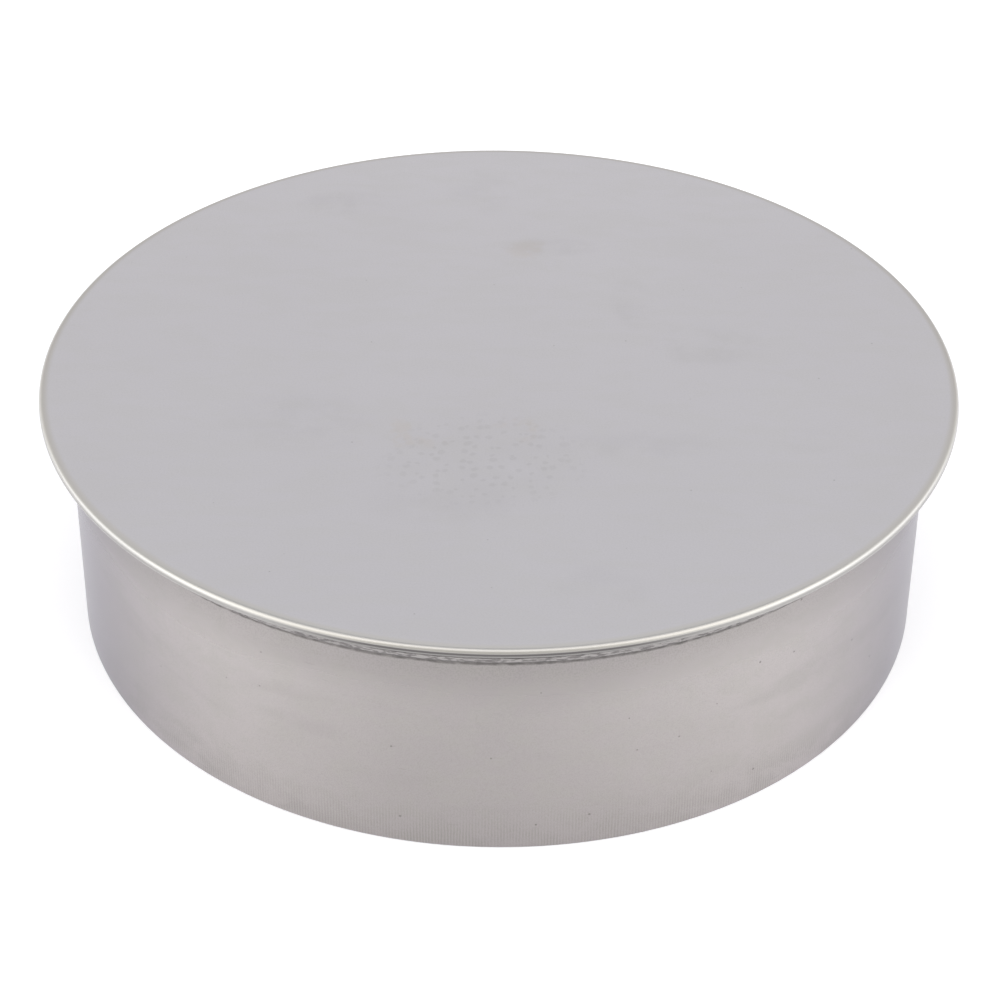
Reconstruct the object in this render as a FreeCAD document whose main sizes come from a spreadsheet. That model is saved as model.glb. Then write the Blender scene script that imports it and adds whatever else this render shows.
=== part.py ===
"""Round sheet-steel cheese mould with a loose overhanging lid and a loose follower.

Frame: millimetres, +Z up, origin at the centre of the mould's bottom edge.
Every driving dimension is a cell of the sheet "Sizes", and every sub-part is bound to those cells.
"""
import FreeCAD, Part
import math
import os
import Sketcher

doc = FreeCAD.newDocument("CheeseMould")

# Driving dimensions, with what each one means.
DIMENSIONS = [
    ("wall_diameter", 254.0, "outside of the wall, a 10 inch mould"),
    ("wall_height", 74.8, "table to the mouth, where the lid rests"),
    ("wall_sheet", 1.2, "sheet of the wall and the base"),
    ("edge_round", 0.35, "deburred edges of the wall"),
    ("base_rise", 3.8, "drainage gap under the base"),
    ("base_bend", 1.2, "inside radius where the base turns down"),
    ("drain_diameter", 3.0, "whey holes in the base"),
    ("drain_pitch", 24.0, "from one ring of whey holes to the next"),
    ("lid_diameter", 270.5, "over the rolled rim"),
    ("lid_sheet", 0.8, "sheet of the lid and its collar"),
    ("wire_diameter", 1.5, "core wire in the rolled rim"),
    ("wire_gap", 0.05, "between the core wire and the roll"),
    ("roll_end", 20.0, "degrees short of a level inner end where the roll stops"),
    ("collar_clearance", 0.8, "radial, between the collar and the wall"),
    ("collar_depth", 8.3, "under the lid, down to the hem's lowest point"),
    ("collar_flange", 2.8, "width of the flange welded under the lid"),
    ("hem_radius", 1.1, "rolled hem on the collar's lower edge"),
    ("follower_clearance", 0.8, "radial, between the follower and the wall"),
    ("follower_plate", 3.0, "thickness of the pressing plate"),
    ("follower_round", 0.8, "rounded edge of the pressing plate and the pad"),
    ("follower_hole", 4.0, "whey holes in the pressing plate"),
    ("inner_holes", 58.0, "radius of the follower's inner ring of holes"),
    ("outer_holes", 108.0, "radius of the follower's outer ring of holes"),
    ("pad_diameter", 70.0, "pressure pad under the press's foot"),
    ("pad_height", 6.0, "pressure pad"),
    ("handle_bar", 6.0, "round bar of the handles"),
    ("handle_span", 80.0, "between the axes of a handle's two feet"),
    ("handle_rise", 18.0, "plate to the axis of a handle's grip"),
    ("handle_bend", 9.0, "radius of the handle's corners, on the bar's axis"),
    ("handle_offset", 82.0, "from the mould's axis to a handle"),
]
INNER_HOLE_COUNT = 12
OUTER_HOLE_COUNT = 24
DRAIN_RINGS = 4
HOLES_PER_RING = 6

sheet = doc.addObject("Spreadsheet::Sheet", "Sizes")
for row, (alias, number, meaning) in enumerate(DIMENSIONS, start=1):
    sheet.set(f"A{row}", alias)
    sheet.set(f"B{row}", str(number))
    sheet.set(f"C{row}", meaning)
    sheet.setAlias(f"B{row}", alias)
doc.recompute()

# Levels and radii that several sub-parts share, as expressions in the sheet's cells.
WALL_OUT = "Sizes.wall_diameter / 2"
WALL_IN = "(Sizes.wall_diameter / 2 - Sizes.wall_sheet)"
BASE_TOP = "(Sizes.base_rise + Sizes.wall_sheet)"
LID_UNDER = "Sizes.wall_height"
LID_TOP = "(Sizes.wall_height + Sizes.lid_sheet)"
ROLL_IN = "(Sizes.wire_diameter / 2 + Sizes.wire_gap)"
ROLL_OUT = f"({ROLL_IN} + Sizes.lid_sheet)"
ROLL_AXIS_X = f"(Sizes.lid_diameter / 2 - {ROLL_OUT})"
ROLL_AXIS_Z = f"({LID_TOP} - {ROLL_OUT})"
COLLAR_IN = f"({WALL_OUT} + Sizes.collar_clearance)"
COLLAR_OUT = f"({COLLAR_IN} + Sizes.lid_sheet)"
HEM_AXIS_X = f"({COLLAR_IN} + Sizes.hem_radius)"
HEM_AXIS_Z = f"({LID_UNDER} - Sizes.collar_depth + Sizes.hem_radius)"
FOLLOWER_OUT = f"({WALL_IN} - Sizes.follower_clearance)"
FOLLOWER_TOP = f"({BASE_TOP} + Sizes.follower_plate)"


def value(expression):
    """The number that an expression in the sheet's cells gives now."""
    return float(sheet.evalExpression(expression))


def origin_plane(body, role):
    """A body's own origin plane, found by its role."""
    return next(item for item in body.Origin.OriginFeatures if item.Role == role)


def new_body(label):
    """An empty body whose label names the sub-part."""
    body = doc.addObject("PartDesign::Body", label)
    body.Label = label
    return body


def new_sketch(body, name, role, offset=None):
    """A sketch on one of the body's origin planes, raised along its normal by an expression."""
    sketch = body.newObject("Sketcher::SketchObject", name)
    sketch.AttachmentSupport = (origin_plane(body, role), [""])
    sketch.MapMode = "FlatFace"
    if offset:
        sketch.setExpression("AttachmentOffset.Base.z", offset)
    return sketch


def bind(sketch, constraint, expression):
    """Add a constraint whose value follows the sheet."""
    index = sketch.addConstraint(constraint)
    sketch.setExpression(f"Constraints[{index}]", expression)


def place_point(sketch, geometry, end, across, up):
    """Tie one end of a sketch element to two expressions. A zero puts it on that axis."""
    if across == "0":
        sketch.addConstraint(Sketcher.Constraint("PointOnObject", geometry, end, -2))
    else:
        bind(sketch, Sketcher.Constraint("DistanceX", -1, 1, geometry, end, value(across)), across)
    if up == "0":
        sketch.addConstraint(Sketcher.Constraint("PointOnObject", geometry, end, -1))
    else:
        bind(sketch, Sketcher.Constraint("DistanceY", -1, 1, geometry, end, value(up)), up)


def outline(sketch, corners, arcs=None, closed=True):
    """Draw a wire through corners, given as pairs of expressions.

    arcs says which runs are round: run number -> (radius, centre across, centre up, turns left).
    """
    arcs = arcs or {}
    count = len(corners)
    runs = count if closed else count - 1
    points = [(value(across), value(up)) for across, up in corners]
    starts = []
    for run in range(runs):
        ax, az = points[run]
        bx, bz = points[(run + 1) % count]
        if run in arcs:
            radius, centre_x, centre_z, left = arcs[run]
            cx, cz = value(centre_x), value(centre_z)
            first = math.atan2(az - cz, ax - cx)
            last = math.atan2(bz - cz, bx - cx)
            if not left:
                first, last = last, first
            circle = Part.Circle(FreeCAD.Vector(cx, cz, 0), FreeCAD.Vector(0, 0, 1), value(radius))
            if last < first:
                last += 2 * math.pi
            geometry = sketch.addGeometry(Part.ArcOfCircle(circle, first, last))
            bind(sketch, Sketcher.Constraint("Radius", geometry, value(radius)), radius)
            starts.append((geometry, 1, 2) if left else (geometry, 2, 1))
        else:
            start, end = FreeCAD.Vector(ax, az, 0), FreeCAD.Vector(bx, bz, 0)
            geometry = sketch.addGeometry(Part.LineSegment(start, end))
            starts.append((geometry, 1, 2))
    for run in range(runs):
        geometry, start, end = starts[run]
        place_point(sketch, geometry, start, *corners[run])
        if closed or run < runs - 1:
            following, next_start, _ = starts[(run + 1) % runs]
            sketch.addConstraint(Sketcher.Constraint("Coincident", geometry, end, following, next_start))
        else:
            place_point(sketch, geometry, end, *corners[run + 1])


def revolve(body, name, corners, arcs=None):
    """A solid turned about the mould's axis from an outline of radius and height."""
    sketch = new_sketch(body, name + "_profile", "XZ_Plane")
    outline(sketch, corners, arcs)
    feature = body.newObject("PartDesign::Revolution", name)
    feature.Profile = sketch
    feature.ReferenceAxis = (sketch, ["V_Axis"])
    feature.Angle = 360.0
    doc.recompute()
    return feature


def disc(body, name, diameter, thickness, level):
    """A round plate, padded up from its underside."""
    sketch = new_sketch(body, name + "_circle", "XY_Plane", level)
    circle = Part.Circle(FreeCAD.Vector(0, 0, 0), FreeCAD.Vector(0, 0, 1), value(diameter) / 2)
    geometry = sketch.addGeometry(circle)
    sketch.addConstraint(Sketcher.Constraint("Coincident", geometry, 3, -1, 1))
    bind(sketch, Sketcher.Constraint("Diameter", geometry, value(diameter)), diameter)
    pad = body.newObject("PartDesign::Pad", name)
    pad.Profile = sketch
    pad.setExpression("Length", thickness)
    doc.recompute()
    return pad


def hole_ring(body, name, radius, diameter, count, top):
    """Drill one hole down through the whole body, and repeat it round the axis."""
    before = body.Shape.Volume
    sketch = new_sketch(body, name + "_circle", "XY_Plane", top)
    centre = FreeCAD.Vector(value(radius), 0, 0)
    circle = Part.Circle(centre, FreeCAD.Vector(0, 0, 1), value(diameter) / 2)
    geometry = sketch.addGeometry(circle)
    place_point(sketch, geometry, 3, radius, "0")
    bind(sketch, Sketcher.Constraint("Diameter", geometry, value(diameter)), diameter)
    pocket = body.newObject("PartDesign::Pocket", name)
    pocket.Profile = sketch
    pocket.Type = "ThroughAll"
    doc.recompute()
    one_hole = before - body.Shape.Volume
    if count > 1:
        pattern = body.newObject("PartDesign::PolarPattern", name + "_ring")
        pattern.Originals = [pocket]
        pattern.Axis = (sketch, ["N_Axis"])
        pattern.Angle = 360.0
        pattern.Occurrences = count
        body.Tip = pattern
        doc.recompute()
    removed = before - body.Shape.Volume
    if one_hole <= 0 or abs(removed - count * one_hole) > 0.01 * removed:
        raise RuntimeError(f"{name} cut {removed:.2f} mm3, not {count} holes")


def round_edges(body, name, radius, wanted):
    """Fillet the edges that wanted() picks out."""
    tip = body.Tip
    edges = [f"Edge{i}" for i, edge in enumerate(tip.Shape.Edges, start=1) if wanted(edge)]
    fillet = body.newObject("PartDesign::Fillet", name)
    fillet.Base = (tip, edges)
    fillet.setExpression("Radius", radius)
    doc.recompute()


def is_circle_at(edge, radius, heights):
    """True for a full circle of this radius about the axis, at one of these heights."""
    if not isinstance(edge.Curve, Part.Circle):
        return False
    at_height = any(abs(edge.Curve.Center.z - height) < 0.01 for height in heights)
    return at_height and abs(edge.Curve.Radius - radius) < 0.01


def make_wall():
    """Rolled and seam-welded cylinder with deburred edges."""
    body = new_body("mould_wall")
    corners = [(WALL_IN, "0"), (WALL_OUT, "0"), (WALL_OUT, LID_UNDER), (WALL_IN, LID_UNDER)]
    revolve(body, "rolled_sheet", corners)
    heights = (0.0, value(LID_UNDER))
    round_edges(body, "deburred", "Sizes.edge_round",
                lambda edge: any(is_circle_at(edge, value(r), heights) for r in (WALL_IN, WALL_OUT)))
    return body


def make_base():
    """Perforated bottom, with its edge turned down and spot-welded inside the wall."""
    body = new_body("base_plate")
    bend_out = "(Sizes.base_bend + Sizes.wall_sheet)"
    bend_x = f"({WALL_IN} - {bend_out})"
    bend_z = f"({BASE_TOP} - {bend_out})"
    flange_in = f"({WALL_IN} - Sizes.wall_sheet)"
    corners = [("0", "Sizes.base_rise"), (bend_x, "Sizes.base_rise"), (flange_in, bend_z),
               (flange_in, "0"), (WALL_IN, "0"), (WALL_IN, bend_z), (bend_x, BASE_TOP), ("0", BASE_TOP)]
    arcs = {1: ("Sizes.base_bend", bend_x, bend_z, False), 5: (bend_out, bend_x, bend_z, True)}
    revolve(body, "pressed_tray", corners, arcs)
    hole_ring(body, "drain_centre", "0", "Sizes.drain_diameter", 1, BASE_TOP)
    for ring in range(1, DRAIN_RINGS + 1):
        radius = f"{ring} * Sizes.drain_pitch"
        hole_ring(body, f"drain_{ring}", radius, "Sizes.drain_diameter", HOLES_PER_RING * ring, BASE_TOP)
    return body


def make_lid_disc():
    """Flat lid whose edge is rolled over, out, down and back in round a core wire."""
    body = new_body("lid_disc")
    turn = "180 deg - 1 deg * Sizes.roll_end"
    end_out = (f"{ROLL_AXIS_X} + {ROLL_OUT} * cos({turn})", f"{ROLL_AXIS_Z} + {ROLL_OUT} * sin({turn})")
    end_in = (f"{ROLL_AXIS_X} + {ROLL_IN} * cos({turn})", f"{ROLL_AXIS_Z} + {ROLL_IN} * sin({turn})")
    corners = [("0", LID_TOP), (ROLL_AXIS_X, LID_TOP), end_out, end_in, (ROLL_AXIS_X, LID_UNDER),
               ("0", LID_UNDER)]
    arcs = {1: (ROLL_OUT, ROLL_AXIS_X, ROLL_AXIS_Z, False), 3: (ROLL_IN, ROLL_AXIS_X, ROLL_AXIS_Z, True)}
    revolve(body, "rolled_disc", corners, arcs)
    return body


def make_rim_wire():
    """Core wire inside the lid's rolled rim."""
    wire = doc.addObject("Part::Torus", "lid_rim_wire")
    wire.Label = "lid_rim_wire"
    wire.setExpression("Radius1", ROLL_AXIS_X)
    wire.setExpression("Radius2", "Sizes.wire_diameter / 2")
    wire.setExpression("Placement.Base.z", ROLL_AXIS_Z)
    return wire


def make_collar():
    """Locating collar under the lid: a narrow welded flange, a short skirt and a rolled hem."""
    body = new_body("lid_collar")
    flange_out = f"({COLLAR_OUT} + Sizes.collar_flange)"
    flange_under = f"({LID_UNDER} - Sizes.lid_sheet)"
    hem_start = f"{HEM_AXIS_Z} + sqrt(Sizes.hem_radius ^ 2 - (Sizes.hem_radius - Sizes.lid_sheet) ^ 2)"
    corners = [(COLLAR_IN, LID_UNDER), (flange_out, LID_UNDER), (flange_out, flange_under),
               (COLLAR_OUT, flange_under), (COLLAR_OUT, hem_start), (COLLAR_IN, HEM_AXIS_Z)]
    revolve(body, "hemmed_ring", corners, {4: ("Sizes.hem_radius", HEM_AXIS_X, HEM_AXIS_Z, False)})
    return body


def make_follower_plate():
    """Loose pressing plate that rests on the base when the mould is empty."""
    body = new_body("follower_plate")
    disc(body, "plate", f"2 * {FOLLOWER_OUT}", "Sizes.follower_plate", BASE_TOP)
    heights = (value(BASE_TOP), value(FOLLOWER_TOP))
    round_edges(body, "rounded_edge", "Sizes.follower_round",
                lambda edge: is_circle_at(edge, value(FOLLOWER_OUT), heights))
    rings = (("inner", "Sizes.inner_holes", INNER_HOLE_COUNT), ("outer", "Sizes.outer_holes", OUTER_HOLE_COUNT))
    for name, radius, count in rings:
        hole_ring(body, name, radius, "Sizes.follower_hole", count, FOLLOWER_TOP)
    return body


def make_pad():
    """Pressure pad welded to the middle of the follower."""
    body = new_body("follower_pad")
    disc(body, "pad", "Sizes.pad_diameter", "Sizes.pad_height", FOLLOWER_TOP)
    top = (value(FOLLOWER_TOP) + value("Sizes.pad_height"),)
    round_edges(body, "rounded_edge", "Sizes.follower_round",
                lambda edge: is_circle_at(edge, value("Sizes.pad_diameter / 2"), top))
    return body


def make_handle(label, side):
    """Bar handle: two feet on the plate, two bends and a grip, swept along one path."""
    body = new_body(label)
    half = "Sizes.handle_span / 2"
    inner = f"({half} - Sizes.handle_bend)"
    grip = f"({FOLLOWER_TOP} + Sizes.handle_rise)"
    shoulder = f"({grip} - Sizes.handle_bend)"
    path = new_sketch(body, "path", "YZ_Plane")
    corners = [(f"-{half}", FOLLOWER_TOP), (f"-{half}", shoulder), (f"-{inner}", grip), (inner, grip),
               (half, shoulder), (half, FOLLOWER_TOP)]
    arcs = {1: ("Sizes.handle_bend", f"-{inner}", shoulder, False),
            3: ("Sizes.handle_bend", inner, shoulder, False)}
    outline(path, corners, arcs, closed=False)
    section = new_sketch(body, "section", "XY_Plane", FOLLOWER_TOP)
    centre = FreeCAD.Vector(0, -value(half), 0)
    geometry = section.addGeometry(Part.Circle(centre, FreeCAD.Vector(0, 0, 1), value("Sizes.handle_bar / 2")))
    place_point(section, geometry, 3, "0", f"-{half}")
    bind(section, Sketcher.Constraint("Diameter", geometry, value("Sizes.handle_bar")), "Sizes.handle_bar")
    pipe = body.newObject("PartDesign::AdditivePipe", "bar")
    pipe.Profile = section
    pipe.Spine = (path, [])
    body.setExpression("Placement.Base.x", f"{side} * Sizes.handle_offset")
    doc.recompute()
    return body


parts = [
    make_wall(),
    make_base(),
    make_lid_disc(),
    make_rim_wire(),
    make_collar(),
    make_follower_plate(),
    make_pad(),
    make_handle("follower_handle_left", -1),
    make_handle("follower_handle_right", 1),
]
doc.recompute()

for item in doc.Objects:
    if {"Invalid", "Error"} & set(item.State):
        raise RuntimeError(f"{item.Label} failed: {item.State}")
for part in parts:
    if part.Shape.isNull() or not part.Shape.isValid() or len(part.Shape.Solids) != 1:
        raise RuntimeError(f"{part.Label} is not one valid solid")

os.makedirs("parts", exist_ok=True)
for part in parts:
    part.Shape.exportStep(f"parts/{part.Label}.step")
    box = part.Shape.BoundBox
    print(f"{part.Label}: {part.Shape.Volume:.0f} mm3, "
          f"z {box.ZMin:.2f} to {box.ZMax:.2f}, {box.XLength:.2f} x {box.YLength:.2f}")
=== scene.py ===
"""Satin steel cheese mould with its lid on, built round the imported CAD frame. Metres."""

import math

import bmesh
import bpy
from mathutils import Matrix, Vector, noise


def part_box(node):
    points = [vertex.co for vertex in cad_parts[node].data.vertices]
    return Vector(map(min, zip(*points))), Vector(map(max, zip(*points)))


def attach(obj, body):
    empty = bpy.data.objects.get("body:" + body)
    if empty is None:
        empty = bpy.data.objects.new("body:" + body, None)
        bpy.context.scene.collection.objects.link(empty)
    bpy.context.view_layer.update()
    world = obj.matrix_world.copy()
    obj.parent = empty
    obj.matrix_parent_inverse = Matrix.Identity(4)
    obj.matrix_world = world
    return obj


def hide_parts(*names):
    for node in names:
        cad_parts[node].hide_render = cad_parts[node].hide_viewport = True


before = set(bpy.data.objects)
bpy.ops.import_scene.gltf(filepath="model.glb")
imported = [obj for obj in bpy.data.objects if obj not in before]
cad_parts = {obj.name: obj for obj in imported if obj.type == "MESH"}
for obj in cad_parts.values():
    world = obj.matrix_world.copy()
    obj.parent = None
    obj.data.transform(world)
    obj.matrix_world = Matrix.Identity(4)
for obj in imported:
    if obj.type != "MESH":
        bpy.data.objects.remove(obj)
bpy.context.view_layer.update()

MM = 0.001
TURN = 2 * math.pi
CELLS = 128                 # quads across a flat disc
SEGMENTS = 4 * CELLS        # round a large ring, so that discs and rings share their edge points
FINE_SEGMENTS = 2400        # round the collar, whose raw edge is ragged
JOIN_DISTANCE = 0.02 * MM   # within which the edge points of two patches become one

# Sizes read from the frame: what the CAD part says, in metres.
LID_LOW, LID_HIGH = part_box("lid_disc")
WIRE_LOW, WIRE_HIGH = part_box("lid_rim_wire")
HANDLE_LOW, HANDLE_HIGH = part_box("follower_handle_right")
WALL_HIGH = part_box("mould_wall")[1]
COLLAR_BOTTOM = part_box("lid_collar")[0].z
PLATE_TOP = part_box("follower_plate")[1].z
PAD_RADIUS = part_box("follower_pad")[1].x

LID_RADIUS = LID_HIGH.x
LID_TOP = LID_HIGH.z
LID_UNDER = WALL_HIGH.z
LID_SHEET = LID_TOP - LID_UNDER
WALL_RADIUS = WALL_HIGH.x
WALL_SHEET = 1.2 * MM
COLLAR_PLAY = 0.8 * MM      # between the wall and the collar
COLLAR_INSIDE = WALL_RADIUS + COLLAR_PLAY

# The lid's edge: a soft bend called the shoulder, then a roll round the wire.
SHOULDER = 2.0 * MM         # width of the bend
SHOULDER_DROP = 0.11 * MM   # how far the sheet falls across it
SHOULDER_ANGLE = 84         # where round the roll it ends, in degrees
CROWN_RISE = 0.01 * MM      # how far the roll still rises beyond that
ROLL_RADIUS = (LID_TOP - LID_LOW.z) / 2
ROLL_CENTRE = (LID_RADIUS - ROLL_RADIUS, LID_TOP - ROLL_RADIUS - SHOULDER_DROP + CROWN_RISE)

# Finish of the outside. Tones are linear colours.
WALL_LOW_TONE, WALL_HIGH_TONE = (0.345, 0.322, 0.320), (0.464, 0.434, 0.428)
WALL_EDGE_TONE = (0.80, 0.80, 0.85)    # how much of the glancing shine is left
WALL_ROUGHNESS = (0.22, 0.27)
SHEEN_BAND_PITCH = 175 * MM       # broad soft light and dark stripes round the wall, painted reflections, dark at the front
WEAVE_REFLECTION_PITCH = 0.86 * MM       # fine upright lines along the wall's lower edge, a painted reflection of fine lines in the surface it stands on
WEAVE_REFLECTION_HEIGHT = 19 * MM
# The lid is darker at the front than at the back, as painted shade.
LID_LOW_TONE, LID_HIGH_TONE = (0.510, 0.505, 0.532), (0.566, 0.561, 0.590)
RIM_TONE = (0.478, 0.468, 0.455)
# Tone of the painted dark reflection on the roll's underside.
RIM_PAINTED_REFLECTION_TONE = (0.115, 0.108, 0.108)
# Near-black for the painted shadow lines under the collar's edge.
PAINTED_SHADOW_TONE = (0.05, 0.048, 0.045)
# Smudges on the lid: centre and reach as shares of its radius, and strength.
SMUDGES = (((-0.38, 0.72), (0.13, 0.07), 0.09),
           ((-0.05, 0.78), (0.10, 0.14), 0.05),
           ((0.12, 0.52), (0.14, 0.05), 0.09),
           ((0.30, 0.27), (0.06, 0.13), 0.08),
           ((0.46, 0.09), (0.15, 0.10), 0.08),
           ((0.30, -0.30), (0.20, 0.07), 0.06),
           ((0.66, -0.28), (0.07, 0.06), 0.05),
           ((-0.42, -0.22), (0.20, 0.14), 0.06),
           ((-0.10, -0.52), (0.20, 0.10), 0.05),
           ((0.20, -0.80), (0.12, 0.10), 0.05))
# A stained patch with dried drops, and spots that heat has tinted: centre and reach.
STAINED = ((-0.03, -0.36), (0.27, 0.21))
TINTED = (((0.07, 0.50), (0.07, 0.06)),
          ((0.03, -0.24), (0.09, 0.07)),
          ((-0.20, -0.27), (0.12, 0.08)))


# ---------------------------------------------------------------- meshes

def mesh_object(name, bm, sharp_angle=40):
    """A smooth-shaded object from a bmesh, with edges sharper than sharp_angle kept crisp."""
    bmesh.ops.recalc_face_normals(bm, faces=bm.faces)
    mesh = bpy.data.meshes.new(name)
    bm.to_mesh(mesh)
    bm.free()
    mesh.polygons.foreach_set("use_smooth", [True] * len(mesh.polygons))
    mesh.set_sharp_from_angle(angle=math.radians(sharp_angle))
    piece = bpy.data.objects.new(name, mesh)
    bpy.context.scene.collection.objects.link(piece)
    return piece


def arc(centre, radius, first, last, steps):
    """Points of (radius, height) on an arc, from one angle to another, in degrees."""
    angles = [math.radians(first + (last - first) * k / steps) for k in range(steps + 1)]
    return [(centre[0] + radius * math.cos(a), centre[1] + radius * math.sin(a)) for a in angles]


def around(angle, radius, height):
    """The point at this angle round the axis. Angle 0 is the front, at -Y."""
    return Vector((radius * math.sin(angle), -radius * math.cos(angle), height))


def ring_noise(angle, pace, level):
    """Smooth noise that closes on itself round a ring. A larger pace gives shorter waves."""
    return noise.noise(Vector((pace * math.sin(angle), pace * math.cos(angle), level)))


def add_lathe(bm, profile, segments=SEGMENTS, closed=True, nudge=None):
    """Turn an outline of (radius, height) about Z.

    nudge(angle, index, radius, height) may move its points.
    """
    rings = []
    for segment in range(segments):
        angle = TURN * (segment / segments - 0.125)
        ring = []
        for index, (radius, height) in enumerate(profile):
            if nudge:
                radius, height = nudge(angle, index, radius, height)
            ring.append(bm.verts.new(around(angle, radius, height)))
        rings.append(ring)
    runs = len(profile) if closed else len(profile) - 1
    for segment in range(segments):
        here, there = rings[segment], rings[(segment + 1) % segments]
        for k in range(runs):
            after = (k + 1) % len(profile)
            bm.faces.new((here[k], there[k], there[after], here[after]))


def add_fillet(bm, centre, foot, height, reach, segments):
    """A weld round a post: a concave ring of this reach on the plate, slightly rippled."""
    sunk = 0.2 * MM             # how deep its hidden sides lie in the post and in the plate
    curve = 1.12 * reach

    def ripple(angle, index, radius, level):
        if index <= 2:
            return radius, level
        even = 0.07 * math.sin(segments / 5 * angle)
        uneven = 0.10 * noise.noise(Vector((9 * angle, level, 0)))
        return radius + reach * (even + uneven), level

    hollow = arc((foot + curve, height + curve), curve, 190, 260, 8)
    hidden = [(foot - sunk, hollow[0][1]), (foot - sunk, height - sunk), (hollow[-1][0], height - sunk)]
    start = len(bm.verts)
    add_lathe(bm, hidden + hollow[::-1], segments=segments, nudge=ripple)
    bm.verts.ensure_lookup_table()
    for vert in bm.verts[start:]:
        vert.co.x += centre[0]
        vert.co.y += centre[1]


def add_disc(bm, radius, height, relief):
    """A disc of quads, raised by relief(x, y). Its edge points are those of a lathe of SEGMENTS."""
    grid = []
    for row in range(CELLS + 1):
        b = 2 * row / CELLS - 1
        line = []
        for column in range(CELLS + 1):
            a = 2 * column / CELLS - 1
            if abs(a) >= abs(b):
                reach, angle = a, (b / a if a else 0) * math.pi / 4
            else:
                reach, angle = b, math.pi / 2 - (a / b) * math.pi / 4
            x, y = radius * reach * math.cos(angle), radius * reach * math.sin(angle)
            line.append(bm.verts.new((x, y, height + relief(x, y))))
        grid.append(line)
    for row in range(CELLS):
        for column in range(CELLS):
            bm.faces.new((grid[row][column], grid[row][column + 1],
                          grid[row + 1][column + 1], grid[row + 1][column]))


# ---------------------------------------------------------------- materials

class Material:
    """A node material, with short calls for the nodes that these metals use."""

    def __init__(self, name):
        self.material = bpy.data.materials.new(name)
        self.material.use_nodes = True
        self.tree = self.material.node_tree
        self.shader = self.tree.nodes["Principled BSDF"]
        self.shader.inputs["Metallic"].default_value = 1.0
        self.coords = self.add("ShaderNodeTexCoord").outputs["Object"]

    def add(self, kind, **settings):
        node = self.tree.nodes.new(kind)
        for key, setting in settings.items():
            setattr(node, key, setting)
        return node

    def plug(self, socket, source):
        """Link a socket, or set its value. A colour may be given as three numbers."""
        if isinstance(source, bpy.types.NodeSocket):
            self.tree.links.new(source, socket)
        elif isinstance(source, tuple):
            socket.default_value = (*source, 1.0)
        else:
            socket.default_value = source

    def maths(self, operation, first, second=0.0):
        node = self.add("ShaderNodeMath", operation=operation)
        self.plug(node.inputs[0], first)
        self.plug(node.inputs[1], second)
        return node.outputs[0]

    def times(self, first, *others):
        """The product of several values."""
        for other in others:
            first = self.maths("MULTIPLY", first, other)
        return first

    def scaled(self, vector, scale):
        node = self.add("ShaderNodeVectorMath", operation="MULTIPLY")
        self.plug(node.inputs[0], vector)
        node.inputs[1].default_value = scale
        return node.outputs[0]

    def noise(self, vector, scale, detail=3.0, rough=0.5, distortion=0.0):
        """Noise of one scale, or stretched by a scale along each axis."""
        if isinstance(scale, tuple):
            vector, scale = self.scaled(vector, scale), 1.0
        node = self.add("ShaderNodeTexNoise")
        self.plug(node.inputs["Vector"], vector)
        node.inputs["Scale"].default_value = scale
        node.inputs["Detail"].default_value = detail
        node.inputs["Roughness"].default_value = rough
        node.inputs["Distortion"].default_value = distortion
        return node.outputs["Fac"]

    def ramp(self, source, low, high, out_low=0.0, out_high=1.0, smooth=True):
        """Map low..high to out_low..out_high, held at both ends."""
        node = self.add("ShaderNodeMapRange", clamp=True)
        node.interpolation_type = "SMOOTHSTEP" if smooth else "LINEAR"
        self.plug(node.inputs["Value"], source)
        for key, number in (("From Min", low), ("From Max", high), ("To Min", out_low), ("To Max", out_high)):
            node.inputs[key].default_value = number
        return node.outputs["Result"]

    def band(self, source, low, high, fade):
        """1 between low and high, falling to 0 over fade on each side."""
        rise = self.ramp(source, low - fade, low)
        fall = self.ramp(source, high, high + fade, 1.0, 0.0)
        return self.times(rise, fall)

    def dots(self, place, pitch, radius, share):
        """Round marks of about this radius, in this share of the cells of an uneven 2-D grid."""
        node = self.add("ShaderNodeTexVoronoi", voronoi_dimensions="2D")
        self.plug(node.inputs["Vector"], place)
        node.inputs["Scale"].default_value = 1 / pitch
        split = self.add("ShaderNodeSeparateColor")
        self.plug(split.inputs[0], node.outputs["Color"])
        chosen = self.maths("GREATER_THAN", split.outputs["Red"], 1 - share)
        size = self.ramp(split.outputs["Green"], 0.0, 1.0, 0.6 * radius / pitch, 1.2 * radius / pitch)
        near = self.maths("DIVIDE", node.outputs["Distance"], size)
        return self.times(chosen, self.ramp(near, 0.45, 1.0, 1.0, 0.0))

    def patch(self, x, y, centre, reach):
        """1 in the middle of an ellipse, fading to 0 at its edge. Sizes are shares of the lid's radius."""
        squares = []
        for place, middle, half in zip((x, y), centre, reach):
            away = self.maths("SUBTRACT", place, LID_RADIUS * middle)
            away = self.maths("DIVIDE", away, LID_RADIUS * half)
            squares.append(self.times(away, away))
        return self.ramp(self.maths("ADD", *squares), 0.1, 1.0, 1.0, 0.0)

    def mix(self, factor, first, second):
        """Mix two colours."""
        node = self.add("ShaderNodeMix", data_type="RGBA")
        self.plug(node.inputs[0], factor)
        self.plug(node.inputs[6], first)
        self.plug(node.inputs[7], second)
        return node.outputs[2]

    def xyz(self):
        split = self.add("ShaderNodeSeparateXYZ")
        self.plug(split.inputs[0], self.coords)
        return tuple(split.outputs)

    def polar(self):
        """(distance from the axis, distance round a ring of the wall's size, height)."""
        x, y, z = self.xyz()
        radius = self.maths("SQRT", self.maths("ADD", self.times(x, x), self.times(y, y)))
        angle = self.maths("ARCTAN2", x, self.times(y, -1.0))
        return radius, self.times(angle, WALL_RADIUS), z

    def vector(self, x, y=0.0, z=0.0):
        node = self.add("ShaderNodeCombineXYZ")
        for socket, source in zip(node.inputs, (x, y, z)):
            self.plug(socket, source)
        return node.outputs[0]

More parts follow.
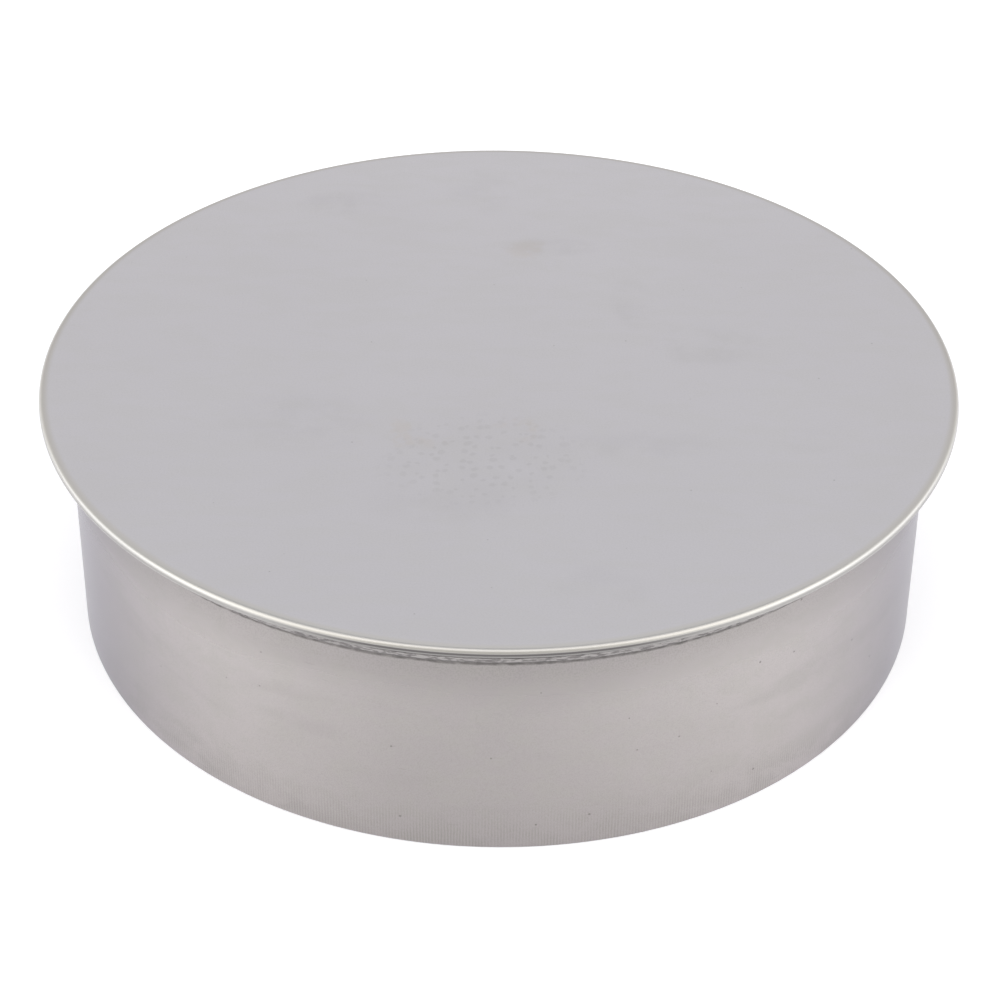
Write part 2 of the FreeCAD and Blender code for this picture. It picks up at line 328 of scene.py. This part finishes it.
    def bump(self, height, distance, under=None):
        node = self.add("ShaderNodeBump")
        node.inputs["Strength"].default_value = 1.0
        node.inputs["Distance"].default_value = distance
        self.plug(node.inputs["Height"], height)
        if under:
            self.plug(node.inputs["Normal"], under)
        return node.outputs["Normal"]

    def finish(self, colour, roughness, normal=None):
        self.plug(self.shader.inputs["Base Color"], colour)
        self.plug(self.shader.inputs["Roughness"], roughness)
        if normal:
            self.plug(self.shader.inputs["Normal"], normal)
        return self.material


def wall_steel():
    """Cold-rolled sheet: warm satin, with broad light and dark stripes of painted reflection round it,
    painted shade and a painted shadow line under the collar, and fine upright lines of painted reflection
    along the bottom.
    """
    m = Material("wall_steel")
    radius, along, height = m.polar()
    unrolled = m.vector(along, height)
    clouds = m.noise(m.coords, 14, detail=4)
    grain = m.noise(m.vector(along, height, radius), (900, 5200, 900), detail=2)
    sand = m.noise(m.coords, 2400, detail=2)

    # Broad stripes of painted reflection, dark at the front, and clouds; then mottle, sandy speckle and
    # smears.
    painted_sheen_bands = m.maths("COSINE", m.times(along, TURN / SHEEN_BAND_PITCH))
    tone = m.ramp(painted_sheen_bands, -1.0, 1.0, 0.8, 0.0, smooth=False)
    tone = m.maths("ADD", tone, m.ramp(clouds, 0.3, 0.7, 0.0, 0.2))
    colour = m.mix(tone, WALL_LOW_TONE, WALL_HIGH_TONE)
    mottle = m.noise(unrolled, (105, 150, 150), detail=5, rough=0.6, distortion=0.4)
    colour = m.mix(m.ramp(mottle, 0.42, 0.62, 0.0, 0.16), colour, (0.37, 0.37, 0.325))
    colour = m.mix(m.ramp(sand, 0.30, 0.60, 0.10, 0.0), colour, (0.12, 0.11, 0.11))
    smears = m.noise(unrolled, (14, 90, 1), detail=4, distortion=0.8)
    colour = m.mix(m.ramp(smears, 0.52, 0.72, 0.0, 0.10), colour, (0.22, 0.205, 0.20))

    # Painted shade and wear, darker and rougher, where the collar comes down over the wall, and a painted
    # shadow line under its edge.
    outside = m.ramp(radius, WALL_RADIUS - 0.9 * MM, WALL_RADIUS - 0.5 * MM)
    painted_shade_and_rub = m.times(outside, m.ramp(height, COLLAR_BOTTOM - 20 * MM, COLLAR_BOTTOM - 0.5 * MM, 0.0, 0.22))
    wear_and_painted_shade = m.times(painted_shade_and_rub, m.ramp(height, COLLAR_BOTTOM, COLLAR_BOTTOM + 2.5 * MM, 1.0, 0.1))
    gritty_painted_shade = m.times(wear_and_painted_shade, m.ramp(sand, 0.35, 0.65, 0.5, 1.5))
    colour = m.mix(gritty_painted_shade, colour, (0.10, 0.095, 0.09))
    ragged = m.noise(unrolled, (330, 900, 1), detail=3)
    sway = m.maths("ADD", height, m.ramp(ragged, 0.2, 0.8, -0.2 * MM, 0.2 * MM, smooth=False))
    # A painted shadow line on the wall just under the collar's edge.
    line = m.band(sway, COLLAR_BOTTOM - 1.9 * MM, COLLAR_BOTTOM - 1.4 * MM, 0.75 * MM)
    colour = m.mix(m.times(outside, line, m.ramp(ragged, 0.3, 0.65, 0.42, 0.72)), colour, PAINTED_SHADOW_TONE)

    # Upright lines, a painted reflection of fine lines in the surface the mould stands on, strongest at the
    # bottom.
    wobble = m.times(m.noise(unrolled, (260, 90, 1), detail=2), 5.0)
    weave_lines = m.maths("SINE", m.maths("ADD", m.times(along, TURN / WEAVE_REFLECTION_PITCH), wobble))
    weave_fade = m.times(m.ramp(height, 2 * MM, WEAVE_REFLECTION_HEIGHT, 1.0, 0.0), m.ramp(mottle, 0.35, 0.6, 0.3, 1.0))
    painted_weave_reflection = m.times(m.ramp(weave_lines, -1.0, 1.0, 0.0, 0.23), weave_fade, outside)
    colour = m.mix(painted_weave_reflection, colour, (0.16, 0.145, 0.145))

    # Nicks, and slanting scuffs.
    nicks = m.dots(unrolled, 13 * MM, 0.42 * MM, 0.24)
    colour = m.mix(m.times(nicks, 0.60), colour, (0.12, 0.11, 0.105))
    slanted = m.scaled(m.vector(m.maths("ADD", along, m.times(height, 0.9)), height), (0.16, 2.2, 1))
    scuffs = m.dots(slanted, 7 * MM, 0.42 * MM, 0.10)
    colour = m.mix(m.times(scuffs, 0.16), colour, (0.14, 0.13, 0.125))

    roughness = m.maths("ADD", m.ramp(clouds, 0.25, 0.75, *WALL_ROUGHNESS), m.times(wear_and_painted_shade, 0.5))
    normal = m.bump(grain, 0.006 * MM)
    normal = m.bump(sand, 0.006 * MM, under=normal)
    normal = m.bump(nicks, -0.04 * MM, under=normal)
    m.plug(m.shader.inputs["Specular Tint"], WALL_EDGE_TONE)
    return m.finish(colour, roughness, normal)


def lid_steel():
    """Matt cool sheet with dried drops and faint smudges, darker towards the front as painted shade. Its rim
    is smoother, with a painted dark reflection on its lower half at the front.
    """
    m = Material("lid_steel")
    radius, along, height = m.polar()
    x, y = m.xyz()[:2]
    rim = m.ramp(radius, ROLL_CENTRE[0] - 1.6 * MM, ROLL_CENTRE[0] + 0.2 * MM)
    face = m.ramp(height, LID_UNDER, LID_UNDER + 0.4 * MM)
    clouds = m.noise(m.coords, 11, detail=5)
    ragged = m.noise(m.coords, 90, detail=4, rough=0.6)
    grain = m.noise(m.coords, (1400, 4200, 1), detail=2)
    sand = m.noise(m.coords, 1800, detail=2)

    # Clouds over painted shade that darkens slowly from back to front, then mottle and sandy speckle.
    painted_shade_front_to_back = m.ramp(y, -LID_RADIUS, LID_RADIUS, 0.0, 0.8, smooth=False)
    tone = m.maths("ADD", painted_shade_front_to_back, m.ramp(clouds, 0.3, 0.7, 0.0, 0.2))
    colour = m.mix(tone, LID_LOW_TONE, LID_HIGH_TONE)
    mottle = m.noise(m.coords, (60, 150, 60), detail=5, rough=0.6, distortion=0.5)
    colour = m.mix(m.ramp(mottle, 0.42, 0.62, 0.0, 0.14), colour, (0.50, 0.50, 0.485))
    colour = m.mix(m.ramp(sand, 0.30, 0.60, 0.05, 0.0), colour, (0.18, 0.175, 0.175))

    # Smudges, dried drops with a haze round them, tinted spots and specks.
    for centre, reach, strength in SMUDGES:
        amount = m.times(m.patch(x, y, centre, reach), m.ramp(ragged, 0.35, 0.65), strength, face)
        colour = m.mix(amount, colour, (0.26, 0.255, 0.26))
    warped = m.times(m.noise(m.coords, 260, detail=2), 2.2 * MM)
    place = m.vector(m.maths("ADD", x, warped), m.maths("ADD", y, warped))
    drops = m.dots(place, 3.9 * MM, 1.25 * MM, 0.85)
    stained = m.patch(x, y, *STAINED)
    colour = m.mix(m.times(drops, stained, face, 0.11), colour, (0.22, 0.215, 0.215))
    haze = m.times(stained, m.ramp(ragged, 0.3, 0.6), face, 0.05)
    colour = m.mix(haze, colour, (0.30, 0.295, 0.27))
    for centre, reach in TINTED:
        amount = m.times(m.patch(x, y, centre, reach), m.ramp(ragged, 0.5, 0.62), face, 0.17)
        colour = m.mix(amount, colour, (0.50, 0.44, 0.36))
    specks = m.dots(m.vector(x, y), 19 * MM, 0.32 * MM, 0.20)
    colour = m.mix(m.times(specks, 0.35), colour, (0.16, 0.155, 0.15))

    # The rim, and a painted dark reflection on the roll's lower half, strongest at the front and fading
    # towards the sides.
    colour = m.mix(rim, colour, RIM_TONE)
    under = m.ramp(height, ROLL_CENTRE[1] + 0.25 * MM, ROLL_CENTRE[1] + 0.60 * MM, 1.0, 0.0)
    painted_reflection_fade = m.ramp(height, ROLL_CENTRE[1] - 0.45 * MM, ROLL_CENTRE[1] - 0.1 * MM, 0.5, 0.97)
    spread = m.ramp(m.maths("ABSOLUTE", along), 26 * MM, 66 * MM, 1.0, 0.3)
    colour = m.mix(m.times(under, painted_reflection_fade, spread, rim), colour, RIM_PAINTED_REFLECTION_TONE)

    roughness = m.maths("SUBTRACT", m.ramp(clouds, 0.3, 0.7, 0.40, 0.44), m.times(rim, 0.10))
    handled = m.noise(m.vector(along, height, radius), 260, detail=3)
    normal = m.bump(grain, 0.004 * MM)
    normal = m.bump(sand, 0.004 * MM, under=normal)
    normal = m.bump(m.times(handled, rim), 0.012 * MM, under=normal)
    return m.finish(colour, roughness, normal)


def collar_steel():
    """Dull sheet whose hem is darker in streaks of wear and painted shade, with a painted shadow line along
    its bottom.
    """
    m = Material("collar_steel")
    radius, along, height = m.polar()
    clouds = m.noise(m.coords, 16, detail=4)
    streaks = m.noise(m.vector(along, height, radius), (520, 2200, 900), detail=3)
    colour = m.mix(m.ramp(clouds, 0.3, 0.7), (0.37, 0.355, 0.35), (0.42, 0.405, 0.40))
    wear_and_painted_shade = m.mix(m.ramp(streaks, 0.42, 0.56), (0.16, 0.15, 0.15), (0.33, 0.315, 0.31))
    # The hem is darker in streaks: wear, and painted shade under the roll.
    hem = m.ramp(height, COLLAR_BOTTOM + 1.6 * MM, COLLAR_BOTTOM + 2.2 * MM, 0.9, 0.0)
    colour = m.mix(hem, colour, wear_and_painted_shade)
    # A painted shadow line along the hem's bottom.
    edge = m.ramp(height, COLLAR_BOTTOM + 0.2 * MM, COLLAR_BOTTOM + 0.5 * MM, 0.85, 0.0)
    colour = m.mix(edge, colour, PAINTED_SHADOW_TONE)
    grain = m.noise(m.coords, (1200, 1200, 5000), detail=2)
    return m.finish(colour, m.ramp(clouds, 0.25, 0.75, 0.34, 0.42), m.bump(grain, 0.006 * MM))


def weld_steel():
    """Brushed weld metal, slightly cloudy."""
    m = Material("weld_steel")
    clouds = m.noise(m.coords, 420, detail=3)
    colour = m.mix(m.ramp(clouds, 0.35, 0.65), (0.34, 0.325, 0.315), (0.39, 0.375, 0.368))
    grain = m.noise(m.coords, (1500, 1500, 5000), detail=2)
    return m.finish(colour, m.ramp(clouds, 0.3, 0.7, 0.30, 0.40), m.bump(grain, 0.008 * MM))


def plain_steel(name, low, high, rough, grain_scale):
    """Satin steel for the hidden pieces, with clouds and grain."""
    m = Material(name)
    clouds = m.noise(m.coords, 16, detail=4)
    grain = m.noise(m.coords, grain_scale, detail=2)
    colour = m.mix(m.ramp(clouds, 0.3, 0.7), low, high)
    roughness = m.ramp(clouds, 0.25, 0.75, rough - 0.03, rough + 0.04)
    return m.finish(colour, roughness, m.bump(grain, 0.006 * MM))


# ---------------------------------------------------------------- mould

def make_wall():
    """Rolled cylinder with deburred edges, very slightly out of round."""
    inside, outside, top = WALL_RADIUS - WALL_SHEET, WALL_RADIUS, WALL_HIGH.z
    edge = 0.35 * MM
    out_of_round = 0.05 * MM
    rows, steps = 24, 6
    profile = arc((inside + edge, edge), edge, 180, 270, steps)
    profile += arc((outside - edge, edge), edge, 270, 360, steps)
    profile += [(outside, edge + (top - 2 * edge) * k / rows) for k in range(1, rows)]
    profile += arc((outside - edge, top - edge), edge, 0, 90, steps)
    profile += arc((inside + edge, top - edge), edge, 90, 180, steps)
    profile += [(inside, top - edge - (top - 2 * edge) * k / rows) for k in range(1, rows)]

    def nudge(angle, index, radius, height):
        return radius + out_of_round * (ring_noise(angle, 2.2, height / 0.05) - 1), height

    bm = bmesh.new()
    add_lathe(bm, profile, nudge=nudge)
    return mesh_object("wall_shell", bm)


def make_seam():
    """Weld where the two ends of the rolled sheet meet, at the back: low, rounded and rippled."""
    rows, columns = 900, 12
    half_width, proud, ripple = 1.5 * MM, 0.09 * MM, 0.8 * MM
    sunk, root = 0.12 * MM, 0.4 * MM    # how deep its edges and its back lie in the wall
    low, high = 1.0 * MM, WALL_HIGH.z - 1.0 * MM
    bm = bmesh.new()
    rings = []
    for row in range(rows + 1):
        height = low + (high - low) * row / rows
        wander = 0.12 * MM * noise.noise(Vector((0.4, 1.1, height / 0.012)))
        points = []
        for column in range(columns + 1):
            u = 2 * column / columns - 1
            wave = 0.5 + 0.5 * math.sin(TURN * (height / ripple + 0.5 * u * u))
            crown = (1 - u * u) ** 0.7 * (0.65 + 0.35 * wave)
            points.append((u, WALL_RADIUS - sunk + (proud + sunk) * crown))
        points += [(1, WALL_RADIUS - root), (-1, WALL_RADIUS - root)]
        rings.append([bm.verts.new(around(math.pi + (u * half_width + wander) / WALL_RADIUS, radius, height))
                      for u, radius in points])
    count = len(rings[0])
    for row in range(rows):
        for k in range(count):
            after = (k + 1) % count
            bm.faces.new((rings[row][k], rings[row][after], rings[row + 1][after], rings[row + 1][k]))
    bm.faces.new(rings[0])
    bm.faces.new(rings[-1])
    return mesh_object("seam_weld", bm, sharp_angle=60)


# ---------------------------------------------------------------- lid

def make_lid():
    """Flat sheet with its edge rolled round a wire. The sheet is not perfectly flat."""
    flat = ROLL_CENTRE[0] - SHOULDER
    dish = 0.08 * MM            # how far the sheet may lie low
    roll_end = -200             # where the rolled edge stops, in degrees

    def relief(x, y):
        fade = max(0.0, 1 - (math.hypot(x, y) / flat) ** 6)
        return -dish * fade * (0.5 + 0.5 * noise.noise(Vector((x, y, 0)) / 0.06))

    def shoulder(height, end):
        steps = 8
        width, drop = end[0] - flat, height - end[1]
        return [(flat + width * k / steps, height - drop * (k / steps) ** 2) for k in range(steps)]

    outer = arc(ROLL_CENTRE, ROLL_RADIUS, SHOULDER_ANGLE, roll_end, 44)
    inner = arc(ROLL_CENTRE, ROLL_RADIUS - LID_SHEET, roll_end, SHOULDER_ANGLE, 28)
    roll = shoulder(LID_TOP, outer[0]) + outer + inner + shoulder(LID_UNDER, inner[-1])[::-1]
    bm = bmesh.new()
    add_disc(bm, flat, LID_TOP, relief)
    add_lathe(bm, roll, closed=False)
    add_disc(bm, flat, LID_UNDER, relief)
    bmesh.ops.remove_doubles(bm, verts=bm.verts, dist=JOIN_DISTANCE)
    return mesh_object("lid_sheet", bm)


def make_rim_wire():
    """Core wire inside the roll."""
    radius = (WIRE_HIGH.z - WIRE_LOW.z) / 2
    bm = bmesh.new()
    add_lathe(bm, arc(ROLL_CENTRE, radius, 0, 360, 20)[:-1])
    return mesh_object("rim_core_wire", bm)


def make_collar():
    """Locating collar: flange under the lid, skirt, and a folded hem whose raw edge is ragged."""
    sheet, flap, flange = 0.8 * MM, 0.5 * MM, 2.8 * MM
    hem_top, lip_height, crevice_floor = 3.0 * MM, 1.88 * MM, 0.9 * MM
    steps = 8                   # round the fold
    outside = COLLAR_INSIDE + sheet
    # The outline runs down the skirt's outside, into the crevice behind the flap, over the flap's lip and
    # round the fold. shape_hem() places the lip and the fold.
    body = [(COLLAR_INSIDE, LID_UNDER), (outside + flange, LID_UNDER), (outside + flange, LID_UNDER - sheet),
            (outside, LID_UNDER - sheet), (outside, COLLAR_BOTTOM + hem_top)]
    body += [(outside, COLLAR_BOTTOM + crevice_floor)] * 2
    behind, lip = len(body) - 1, len(body)
    fold = lip + 3
    body += [(outside, COLLAR_BOTTOM)] * (3 + steps + 1)

    def shape_hem(angle, index, radius, height):
        if index < behind:
            return radius, height
        wander = ring_noise(angle, 9, 1.7)
        ripple = ring_noise(angle, 130, 0.3)
        burr = ring_noise(angle, 420, 5.1)
        inner = outside + (0.26 + 0.22 * wander + 0.10 * ripple) * MM
        rim = COLLAR_BOTTOM + lip_height + (0.20 * wander + 0.16 * ripple + 0.12 * burr) * MM
        if index == behind:
            return inner, height
        if index == lip:
            return inner + 0.05 * MM * burr, rim
        if index == lip + 1:
            return inner + 0.7 * flap, rim + 0.06 * MM * burr
        if index == lip + 2:
            return inner + flap, rim - 0.14 * MM
        bend = (inner + flap - COLLAR_INSIDE) / 2
        turned = -math.pi * (index - fold) / steps
        dent = max(0.0, 0.25 * wander + 0.20 * ripple + 0.08 * burr) * MM
        middle = COLLAR_BOTTOM + dent + bend
        return COLLAR_INSIDE + bend + bend * math.cos(turned), middle + bend * math.sin(turned)

    bm = bmesh.new()
    add_lathe(bm, body, segments=FINE_SEGMENTS, nudge=shape_hem)
    return mesh_object("collar_ring", bm, sharp_angle=35)


# ---------------------------------------------------------------- follower

def make_follower_welds():
    """Small welds round the pad and round the four feet of the handles."""
    bm = bmesh.new()
    add_fillet(bm, (0, 0), PAD_RADIUS, PLATE_TOP, 1.2 * MM, 360)
    bar = (HANDLE_HIGH.x - HANDLE_LOW.x) / 2
    across = (HANDLE_HIGH.x + HANDLE_LOW.x) / 2
    for x in (-across, across):
        for y in (HANDLE_LOW.y + bar, HANDLE_HIGH.y - bar):
            add_fillet(bm, (x, y), bar, PLATE_TOP, 1.4 * MM, 60)
    return mesh_object("follower_welds", bm, sharp_angle=50)


# ---------------------------------------------------------------- assembly

def dress(piece, body, material, node=None):
    """Give a piece its material and body, and hide the CAD node that it stands for, if any."""
    piece.data.materials.append(material)
    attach(piece, body)
    if node:
        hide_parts(node)


def keep(node, material):
    """Carry a CAD node over with a better material."""
    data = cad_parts[node].data
    data.materials.clear()
    data.materials.append(material)


STEEL = plain_steel("inner_steel", (0.53, 0.52, 0.515), (0.57, 0.56, 0.555), 0.34, (900, 900, 900))
WIRE = plain_steel("wire_steel", (0.45, 0.45, 0.45), (0.50, 0.50, 0.50), 0.30, (2000, 2000, 2000))
WELD = weld_steel()

dress(make_wall(), "mould", wall_steel(), node="mould_wall")
dress(make_seam(), "mould", WELD)
dress(make_follower_welds(), "follower", WELD)
dress(make_lid(), "lid", lid_steel(), node="lid_disc")
dress(make_rim_wire(), "lid", WIRE, node="lid_rim_wire")
dress(make_collar(), "lid", collar_steel(), node="lid_collar")
keep("base_plate", STEEL)
keep("follower_plate", STEEL)
keep("follower_pad", STEEL)
keep("follower_handle_left", STEEL)
keep("follower_handle_right", STEEL)


# ---------------------------------------------------------------- studio

def make_floor():
    """Plain pale floor with a faint cool glow."""
    bm = bmesh.new()
    bmesh.ops.create_grid(bm, x_segments=8, y_segments=8, size=6.0)
    floor = mesh_object("floor", bm)
    floor.location.z = -0.02 * MM
    m = Material("pale_floor")
    m.plug(m.shader.inputs["Metallic"], 0.0)
    m.plug(m.shader.inputs["Specular IOR Level"], 0.0)
    m.plug(m.shader.inputs["Emission Color"], (0.95, 1.0, 1.2))
    m.plug(m.shader.inputs["Emission Strength"], 0.19)
    floor.data.materials.append(m.finish((0.90, 0.90, 0.90), 0.9))


def make_softbox(name, azimuth, elevation, width, height, power):
    """A soft, warm light aimed at the mould. Azimuth 0 is towards the camera, at -Y."""
    distance = 1.3
    light = bpy.data.lights.new(name, "AREA")
    light.shape = "RECTANGLE"
    light.size, light.size_y = width, height
    light.energy = power
    light.color = (1.0, 0.965, 0.925)
    lamp = bpy.data.objects.new(name, light)
    a, e = math.radians(azimuth), math.radians(elevation)
    target = Vector((0, 0, LID_TOP / 2))
    back = Vector((math.sin(a) * math.cos(e), -math.cos(a) * math.cos(e), math.sin(e)))
    lamp.location = target + back * distance
    lamp.rotation_mode = "QUATERNION"
    lamp.rotation_quaternion = (-back).to_track_quat("-Z", "Y")
    bpy.context.scene.collection.objects.link(lamp)


def make_world(lobes):
    """Pale surroundings: for each lobe an axis, where it starts and is full, and its light."""
    world = bpy.data.worlds.new("studio")
    world.use_nodes = True
    nodes, links = world.node_tree.nodes, world.node_tree.links
    split = nodes.new("ShaderNodeSeparateXYZ")
    links.new(nodes.new("ShaderNodeTexCoord").outputs["Generated"], split.inputs[0])
    sideways = nodes.new("ShaderNodeMath")
    sideways.operation = "ABSOLUTE"
    links.new(split.outputs["X"], sideways.inputs[0])
    forwards = nodes.new("ShaderNodeMath")
    forwards.operation = "MULTIPLY"
    forwards.inputs[1].default_value = -1
    links.new(split.outputs["Y"], forwards.inputs[0])
    axes = {"front": forwards.outputs[0], "sides": sideways.outputs[0],
            "back": split.outputs["Y"], "top": split.outputs["Z"]}
    total = None
    for axis, start, full, light in lobes:
        level = nodes.new("ShaderNodeMapRange")
        level.interpolation_type = "SMOOTHSTEP"
        level.inputs["From Min"].default_value = start
        level.inputs["From Max"].default_value = full
        links.new(axes[axis], level.inputs["Value"])
        tint = nodes.new("ShaderNodeVectorMath")
        tint.operation = "MULTIPLY_ADD"
        links.new(level.outputs["Result"], tint.inputs[0])
        tint.inputs[1].default_value = light
        if total:
            links.new(total, tint.inputs[2])
        total = tint.outputs[0]
    links.new(total, nodes["Background"].inputs["Color"])
    bpy.context.scene.world = world


def make_camera():
    """A long lens, a little under 37 degrees above the table."""
    data = bpy.data.cameras.new("camera")
    data.lens = 101.4
    data.sensor_width = 36.0
    data.clip_start, data.clip_end = 0.01, 50
    camera = bpy.data.objects.new("camera", data)
    distance, elevation = 0.8784, math.radians(36.84)
    pitch, yaw, roll = math.radians(35.40), math.radians(0.05), math.radians(-0.54)
    forward = Vector((math.sin(yaw) * math.cos(pitch), math.cos(yaw) * math.cos(pitch), -math.sin(pitch)))
    level = forward.cross(Vector((0, 0, 1))).normalized()
    below = forward.cross(level)
    right = math.cos(roll) * level + math.sin(roll) * below
    up = math.sin(roll) * level - math.cos(roll) * below
    turn = Matrix((right, up, -forward)).transposed().to_4x4()
    place = Vector((0, -distance * math.cos(elevation), distance * math.sin(elevation)))
    camera.matrix_world = Matrix.Translation(place) @ turn
    bpy.context.scene.collection.objects.link(camera)
    bpy.context.scene.camera = camera


make_floor()
# What the metal mirrors: warm in front and behind, cool and bright far out at the sides.
make_world((("front", 0.1, 0.6, (0.80, 0.775, 0.72)),
            ("back", -0.1, 0.8, (0.865, 0.840, 0.830)),
            ("sides", 0.35, 0.9, (0.485, 0.497, 0.440)),
            ("sides", 0.7, 0.97, (1.55, 1.56, 1.62)),
            ("top", 0.4, 0.95, (0.49, 0.507, 0.53))))
make_softbox("wide_softbox_left", azimuth=-58, elevation=35, width=1.2, height=0.9, power=3.6)
make_softbox("wide_softbox_right", azimuth=58, elevation=35, width=1.2, height=0.9, power=3.6)
make_softbox("front_softbox", azimuth=0, elevation=66, width=1.2, height=0.8, power=2.7)
make_camera()
bpy.context.scene.view_settings.view_transform = "Standard"
